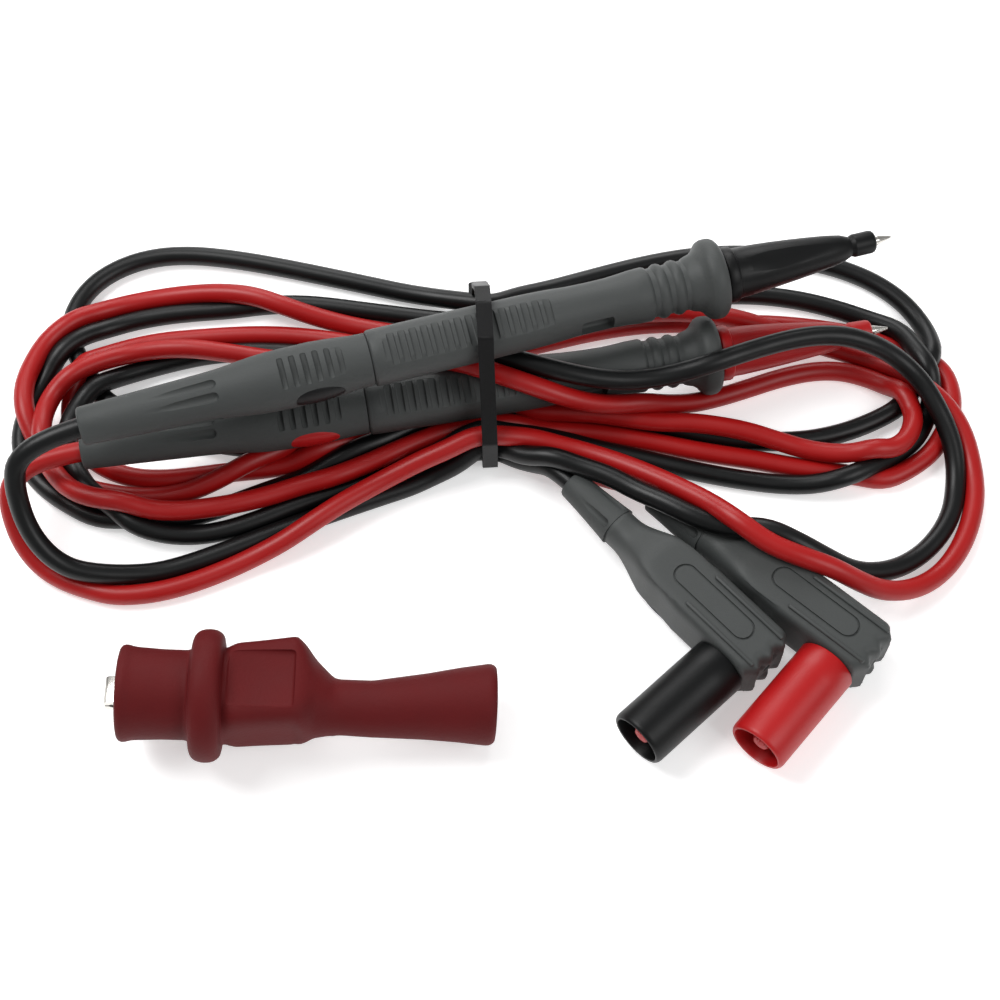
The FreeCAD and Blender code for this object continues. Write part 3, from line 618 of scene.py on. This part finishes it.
housing = {
    "outside": [(12.6, 5.4), (13.2, 6.0), *[(x, 6.0) for x in range(14, 48)],
                *[(48 + 0.4 * k, 6.0) for k in range(8)], (51.2, 5.95), (51.6, 5.87), (52.0, 5.75),
                (52.5, 5.4), (52.9, 4.6), (53.0, 3.6), (53.0, 2.6), (53.0, 1.6), (53.0, 0.8)],
    "bore": [(52.0, 0.5), (28, 0.6), (27.8, 2.2), (12.6, 4.0)],
    "wide": 12.0, "high": 12.4, "neck": 5.9, "skin": 6.0, "overNeck": (0.7, 1.1),
    "widens": (15, 14), "rises": (16, 9), "round": 2.2, "squarer": 5.0, "side": 0.9,
    "waistAt": 29, "waistLong": 5, "waistDeep": 0.6, "ridgeFrom": 48.5, "ridgeOver": 3.5, "ridges": 7,
    "ridge": 0.5, "padStart": 28.6, "padEnd": 48.0, "padHalf": 2.45, "padFloor": 5.85, "line": 0.45,
    "railStart": 35.0, "railEnd": 52.2, "railAt": 3.9, "railHalf": 0.4, "railHigh": (5.4, 6.7),
    "railCorner": 0.3,
}


def housingRule(along, turns, radius, isSkin):
    # a tapered neck that steps out into a flat-topped body with ridges across its end
    h, neck = housing, housing["neck"] / 2
    share, rise = (blend((along - start) / over) for start, over in (h["widens"], h["rises"]))
    sideways, upward = h["overNeck"]
    halfWide = neck + sideways + (h["wide"] / 2 - neck - sideways) * share
    halfHigh = neck + upward + (h["high"] / 2 - neck - upward) * rise
    c, k = np.cos(turns), np.sin(turns)
    reach = squared(c, k, h["round"] + h["squarer"] * share)
    y, z = halfWide * reach * c * radius / h["skin"], halfHigh * reach * k * radius / h["skin"]
    waist = np.clip(1 - np.abs((along - h["waistAt"]) / h["waistLong"]), 0, 1) * h["waistDeep"]
    y = y - np.where(isSkin & (np.abs(c) * reach > h["side"]), np.sign(c) * waist, 0)
    atEnd = np.clip((along - h["ridgeFrom"]) / h["ridgeOver"], 0, 1)
    wave = np.cos(y / h["wide"] * h["ridges"] * math.pi)
    return np.stack([along + np.where(isSkin, atEnd * h["ridge"] * wave, 0), y, z], axis=1)


def stadium(start, end, half, low, high):
    # an upright round-ended block
    bpy.ops.object.select_all(action="DESELECT")
    bpy.ops.mesh.primitive_cylinder_add(vertices=48, radius=half * mm, depth=(high - low) * mm)
    piece = bpy.context.object
    for vertex in piece.data.vertices:
        vertex.co.x += ((start + half) if vertex.co.x < 0 else (end - half)) * mm
        vertex.co.z += (low + high) / 2 * mm
    return piece


def makeHousing(colour, material):
    h = housing
    piece = spun("housing", h["outside"] + h["bore"], 160)
    reshape(piece, h["outside"], h["bore"], housingRule)
    low, high = h["railHigh"]
    rail = block((h["railStart"], h["railAt"] - h["railHalf"], low),
                 (h["railEnd"], h["railAt"] + h["railHalf"], high), h["railCorner"])
    combine(piece, copies(rail, [(0, 0, 0), (0, -2 * h["railAt"], 0)] * 2, [0, 0, 180, 180]), "UNION")
    start, end, half, line = h["padStart"], h["padEnd"], h["padHalf"], h["line"]
    ring = stadium(start, end, half, h["padFloor"], 8)
    combine(ring, stadium(start + line, end - line, half - line, 5, 9))
    combine(piece, copies(ring, [(0, 0, 0)] * 2, [0, 180]))
    finish(piece, colour + "PlugHousing", plugs[colour], "root", material,
           colour + "_plug_housing")


shroud = {
    "outline": [(-3.8, 2.7), (-3.8, 4.65), (0.05, 4.65), (0.05, 5.55), (0.3, 5.75), (5, 5.75), (10, 5.75),
                (16, 5.75), (21.0, 5.75), (21.5, 5.65), (21.85, 5.45), (22.0, 5.2), (21.9, 4.9), (21.5, 4.8),
                (14, 4.8), (8, 4.8), (2.0, 4.8), (2.0, 2.7)],
    "along": 46.65, "across": 6.0,
}


def makeShroud(colour, material):
    plug = plugs[colour]
    way, side = direction(plug["turn"]), direction(plug["turn"] + 90)
    root = np.array(plug["rear"]) + way * shroud["along"] - side * shroud["across"]
    piece = spun("shroud", shroud["outline"], 96)
    finish(piece, colour + "PlugShroud", {"rear": root, "turn": plug["turn"] - 90}, "root", material,
           colour + "_plug_shroud", 50)


relief = {
    "outline": [(0.0, 2.1), (0.0, 2.5), (0.15, 2.8), (0.5, 2.98), (4, 3.2), (8, 3.55), (11, 3.85),
                (13.0, 4.1), (13.2, 2.3)],
    "flutesAt": [-38, 38, 142, 218], "fluteEnd": 11.6, "fluteLong": 11, "fluteWide": 0.9, "fluteHigh": 4.0,
}


def makeRelief(colour, material):
    r = relief
    piece = spun("relief", r["outline"], 64)
    drop = flute(r["fluteLong"], r["fluteWide"])
    combine(piece, copies(drop, [(r["fluteEnd"], 0, r["fluteHigh"])] * len(r["flutesAt"]), r["flutesAt"]))
    finish(piece, colour + "PlugRelief", plugs[colour], "root", material,
           colour + "_plug_relief")


clip = {
    "place": {"rear": (-67.68, -41.35, 14.0), "turn": 0.0, "lean": 5.0},
    "outside": [(0.0, 7.2), (0.0, 8.5), (0.5, 8.95), (1.5, 8.95), (2.0, 8.6), (2.6, 8.5), (8, 8.2),
                (13.0, 8.2), (13.1, 10.6), (13.7, 11.6), (14.8, 12.1), (16.2, 12.2), (17.6, 12.0),
                (18.5, 11.3), (18.8, 10.2), (18.9, 8.2), (26, 8.35), (32.2, 8.6), (33.8, 8.2),
                (38.6, 5.4), (39.8, 5.1), (46, 5.2), (56, 6.1), (67.6, 7.6), (68.4, 7.4), (68.6, 6.9)],
    "bore": [(68.6, 4.6), (68.0, 4.3), (56, 4.3), (52, 2.85), (33, 2.85), (32, 6.7), (0.6, 6.7),
             (0.0, 6.9)],
    "panel": ((19.6, -5.6, 7.7), (32.0, 5.6, 12)), "panelCorner": 0.9, "panelShift": 0.6,
    "squareFrom": (18, 4), "squareTo": (36, 5), "squarer": 3.0,
    "swingAt": [19, 32, 39, 46, 62, 68.6], "swing": [0, 1.5, -1.45, -1.6, -0.3, 0],
}


def clipRule(along, turns, radius, isSkin):
    # the body goes square behind the ring and swings out, and the tail leaves on the other side
    (start, rising), (end, falling) = clip["squareFrom"], clip["squareTo"]
    boxy = blend(np.minimum((along - start) / rising, (end - along) / falling))
    c, k = np.cos(turns), np.sin(turns)
    reach = np.where(isSkin, squared(c, k, 2 + clip["squarer"] * boxy), 1)
    swing = np.interp(along, clip["swingAt"], clip["swing"])
    y = radius * reach * c + np.where(isSkin, swing, 0)
    return np.stack([along, y, radius * reach * k], axis=1)


def makeClip(material):
    skin, bore = eased(clip["outside"], 130), eased(clip["bore"], 60, 1)
    piece = spun("clip", skin + bore, 96)
    reshape(piece, skin, bore, clipRule)
    panel, shift = block(*clip["panel"], clip["panelCorner"]), clip["panelShift"]
    combine(piece, copies(panel, [(0, shift, 0), (0, -shift, 0)], [0, 180]))
    finish(piece, "clipBoot", clip["place"], "clip", material, "clip_boot", 40)


def polished(name, material):
    # a merged, smooth-shaded copy of a CAD piece stands for it
    source = frame["nodes"][name]
    piece = bpy.data.objects.new(name.title().replace("_", ""), source.data.copy())
    bpy.context.scene.collection.objects.link(piece)
    bpy.ops.object.select_all(action="DESELECT")
    piece.select_set(True)
    bpy.context.view_layer.objects.active = piece
    editAll()
    bpy.ops.mesh.remove_doubles(threshold=1e-6)
    bpy.ops.object.mode_set(mode="OBJECT")
    for key in list(piece.keys()):
        del piece[key]
    bpy.ops.object.shade_smooth_by_angle(angle=math.radians(30))
    piece.data.materials.clear()
    piece.data.materials.append(material)
    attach(piece, next(b for b, held in frame["record"]["behaviour"]["bodies"].items() if name in held))
    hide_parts(name)


# the lamps are place, power and size, and the camera looks down at its aim from a distance
room = {
    "floor": 6, "floorGlow": 0.42, "sky": 0.32,
    "lamps": (((-0.35, 0.15, 0.6), 3.6, 0.35), ((0.45, -0.3, 0.55), 2.0, 0.4), ((0.0, 0.6, 0.4), 2.2, 0.4)),
    "lens": 66.6, "sensor": 36, "down": 63, "away": 0.370, "aim": (0.00162, 0.00515, 0),
}


def studio():
    # floor, soft lights and the camera
    bpy.ops.mesh.primitive_plane_add(size=room["floor"], location=(0, 0, 0))
    floor = bpy.context.object
    floor.name = "floor"
    paint = bpy.data.materials.new("floorPaint")
    paint.use_nodes = True
    sockets = paint.node_tree.nodes["Principled BSDF"].inputs
    sockets["Base Color"].default_value = (0.9, 0.9, 0.9, 1)
    sockets["Roughness"].default_value = 0.9
    sockets["Emission Color"].default_value = (1, 1, 1, 1)
    sockets["Emission Strength"].default_value = room["floorGlow"]
    floor.data.materials.append(paint)
    world = bpy.data.worlds.new("studioWorld")
    world.use_nodes = True
    world.node_tree.nodes["Background"].inputs["Color"].default_value = (1, 1, 1, 1)
    world.node_tree.nodes["Background"].inputs["Strength"].default_value = room["sky"]
    bpy.context.scene.world = world
    for place, power, size in room["lamps"]:
        lamp = bpy.data.lights.new("softLight", "AREA")
        lamp.energy = power
        lamp.size = size
        thing = bpy.data.objects.new("softLight", lamp)
        thing.location = place
        thing.rotation_euler = (-Vector(place)).to_track_quat("-Z", "Y").to_euler()
        bpy.context.scene.collection.objects.link(thing)
    eye = bpy.data.cameras.new("camera")
    eye.lens = room["lens"]
    eye.sensor_width = room["sensor"]
    camera = bpy.data.objects.new("camera", eye)
    high, away, aim = math.radians(room["down"]), room["away"], Vector(room["aim"])
    camera.location = aim + Vector((0, -away * math.cos(high), away * math.sin(high)))
    camera.rotation_euler = (aim - camera.location).to_track_quat("-Z", "Y").to_euler()
    bpy.context.scene.collection.objects.link(camera)
    bpy.context.scene.camera = camera
    bpy.context.scene.view_settings.view_transform = "Standard"
    print("studio ready")


studio()
materials = makeMaterials()
dressFrame(materials)
for colour in ("black", "red"):
    makeBoot(colour, materials["greyRubber"])
    makeHandle(colour, materials["greyPlastic"])
    makeSleeve(colour, materials[colour + "Plastic"])
    makeInlays(colour, materials[colour + "Plastic"])
    makeHousing(colour, materials["greyPlastic"])
    makeRelief(colour, materials["greyRubber"])
    makeShroud(colour, materials[colour + "Plastic"])
    print(colour, "probe and plug made")
makeClip(materials["clipVinyl"])
print("clip made")
remade = ("probe_boot", "probe_handle", "tip_sleeve", "grip_inlays", "plug_housing", "plug_relief",
          "plug_shroud", "hank", "tail", "clip_boot")
for name in sorted(frame["nodes"]):
    if not name.endswith(remade):
        polished(name, materials[nodeMaterial(name)])
blackLine, redLine = settle([startRoute("black", blackTail, blackRoute),
                             startRoute("red", redTail, redRoute)])
makeLead("black", blackLine, materials["blackCable"])
makeLead("red", redLine, materials["redCable"])
